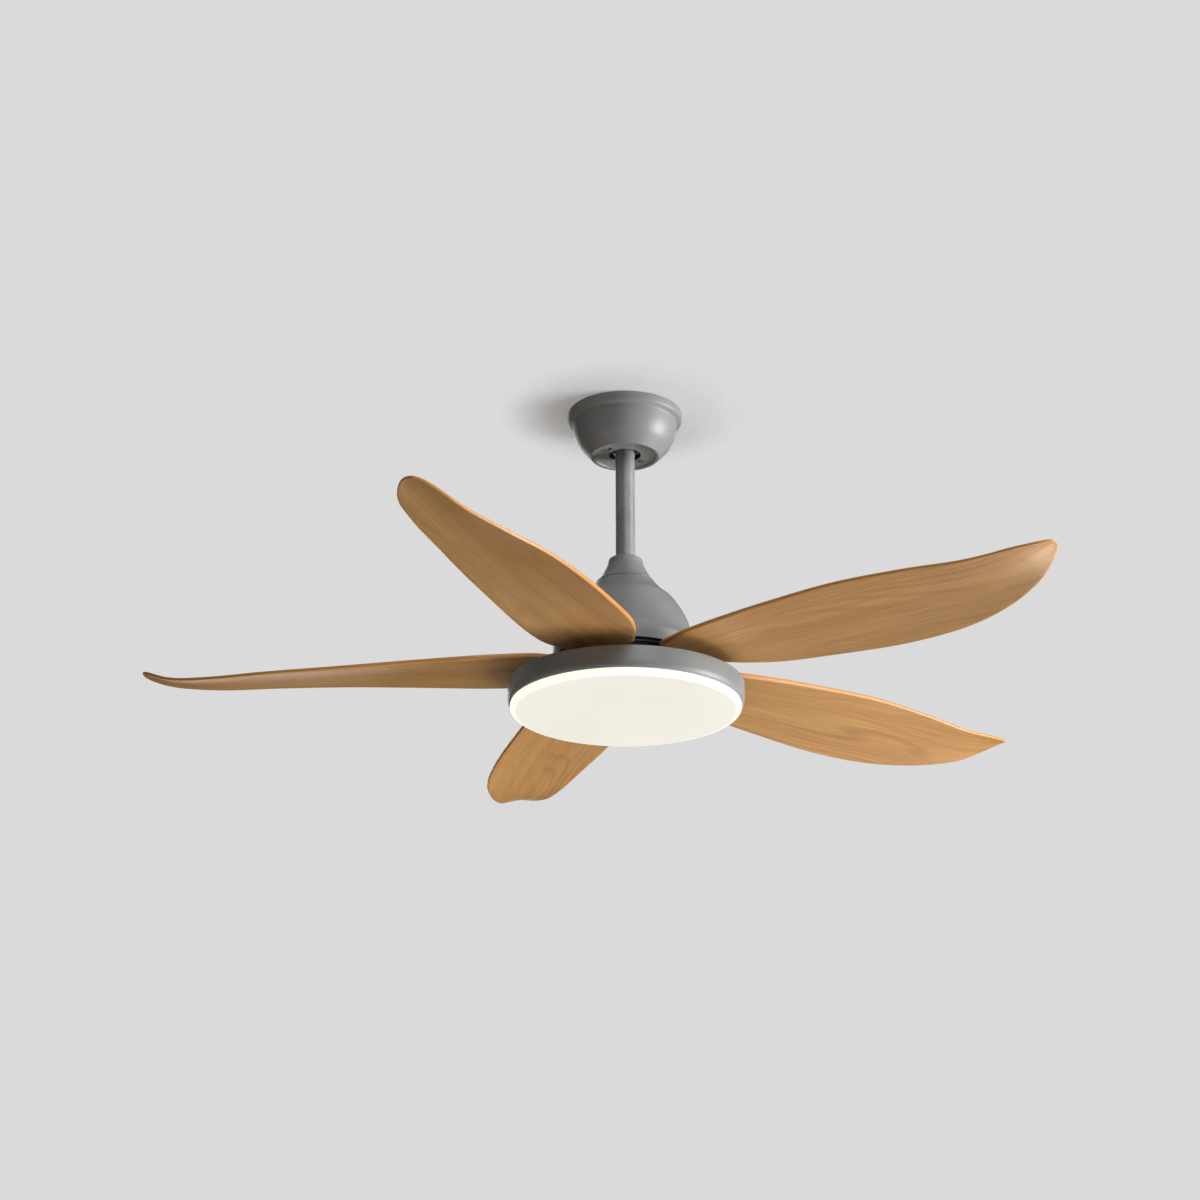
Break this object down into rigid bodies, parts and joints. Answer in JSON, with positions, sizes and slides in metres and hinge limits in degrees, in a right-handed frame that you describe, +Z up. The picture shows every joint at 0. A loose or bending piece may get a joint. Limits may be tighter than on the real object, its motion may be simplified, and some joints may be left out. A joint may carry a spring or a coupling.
{
  "type": "ceiling fan with light",
  "caption": "Grey ceiling fan on a short downrod with swept wood-grain blades, a bell motor cover and a round opal LED light below.",
  "frame": {"origin": "centre of the hanger bracket's top face, on the ceiling plane", "axes": "+Z up into the ceiling, the fan hangs along -Z; +X along the line of the two ceiling screw slots"},
  "size_m": [1.2295, 1.2631, 0.4407],
  "materials": {
    "grey_paint": "satin grey powder coat",
    "black_paint": "matt black coat",
    "blade_wood": "satin, fine grain along the blade",
    "opal_diffuser": "opal, lit from inside",
    "zinc_steel": "zinc plated",
    "bright_steel": "bright plated",
    "bearing_steel": "ground and polished",
    "silicon_steel": "stacked laminations",
    "magnet": "dull ferrite",
    "copper_wire": "enamelled copper",
    "brass": "plain",
    "nylon": "natural",
    "black_plastic": "fine texture",
    "white_plastic": "fine texture",
    "rubber_pad": "matt",
    "green_board": "solder mask",
    "lamp_board": "white solder mask on aluminium",
    "led": "phosphor",
    "lead_sleeve": "flexible insulation",
    "earth_green": "green passivated"
  },
  "bodies": {
    "ceiling_mount": {"hanger_bracket": "zinc_steel", "canopy": "grey_paint", "canopy_screws": "bright_steel", "receiver_case": "black_plastic", "receiver_lid": "black_plastic", "receiver_board": "green_board", "receiver_antenna": "lead_sleeve", "terminal_block": "nylon", "terminal_screws": "brass", "ground_screw": "earth_green"},
    "seat_liner": {"hanger_liner": "nylon"},
    "fan_body": {"hanger_ball": "black_plastic", "hanger_pin": "bright_steel", "ball_set_screw": "bright_steel", "downrod": "grey_paint", "hanger_leads": "lead_sleeve", "rod_leads": "lead_sleeve", "rod_coupling": "zinc_steel", "coupling_pin": "bright_steel", "cotter_pin": "bright_steel", "coupling_set_screws": "bright_steel", "neck_cover": "grey_paint", "motor_cover": "grey_paint", "cover_screws": "bright_steel", "motor_shaft": "bright_steel", "stator_core": "silicon_steel", "stator_windings": "copper_wire", "upper_bearing_inner": "bearing_steel", "lower_bearing_inner": "bearing_steel", "retaining_rings": "bright_steel", "shaft_spacer": "zinc_steel", "shaft_nut": "zinc_steel", "light_mount_plate": "black_paint", "light_ring": "grey_paint", "ring_screws": "bright_steel", "diffuser_clips": "bright_steel", "led_board": "lamp_board", "led_chips": "led", "led_driver": "white_plastic", "light_leads": "lead_sleeve"},
    "rotor": {"rotor_top_shell": "black_paint", "rotor_bottom_shell": "black_paint", "rotor_back_iron": "zinc_steel", "rotor_magnets": "magnet", "shell_screws": "bright_steel", "upper_bearing_outer": "bearing_steel", "lower_bearing_outer": "bearing_steel", "blade_flange": "black_paint", "flange_screws": "bright_steel", "blade_1": "blade_wood", "blade_2": "blade_wood", "blade_3": "blade_wood", "blade_4": "blade_wood", "blade_5": "blade_wood", "blade_pads": "rubber_pad", "blade_screws": "bright_steel"},
    "upper_ball_set": {"upper_bearing_balls": "bearing_steel"},
    "lower_ball_set": {"lower_bearing_balls": "bearing_steel"},
    "light_cover": {"diffuser": "opal_diffuser"}
  },
  "joints": [
    {"name": "hanger_tilt_x", "type": "hinge", "parent": "ceiling_mount", "child": "seat_liner", "pos_m": [0, 0, -0.036], "axis": [1, 0, 0], "range_deg": [-8, 8], "deforming": ["hanger_leads"]},
    {"name": "hanger_tilt_y", "type": "hinge", "parent": "seat_liner", "child": "fan_body", "pos_m": [0, 0, -0.036], "axis": [0, 1, 0], "range_deg": [-8, 8], "deforming": ["hanger_leads"]},
    {"name": "rotor_spin", "type": "hinge", "parent": "fan_body", "child": "rotor", "pos_m": [0, 0, -0.36], "axis": [0, 0, 1], "continuous": true},
    {"name": "upper_bearing_roll", "type": "hinge", "parent": "fan_body", "child": "upper_ball_set", "pos_m": [0, 0, -0.33], "axis": [0, 0, 1], "continuous": true},
    {"name": "lower_bearing_roll", "type": "hinge", "parent": "fan_body", "child": "lower_ball_set", "pos_m": [0, 0, -0.36], "axis": [0, 0, 1], "continuous": true},
    {"name": "diffuser_twist", "type": "hinge", "parent": "fan_body", "child": "light_cover", "pos_m": [0, 0, -0.43], "axis": [0, 0, 1], "range_deg": [0, 20]}
  ],
  "couplings": [
    {"joint": "upper_bearing_roll", "follows": "rotor_spin", "ratio": 0.61851},
    {"joint": "lower_bearing_roll", "follows": "rotor_spin", "ratio": 0.61851}
  ]
}
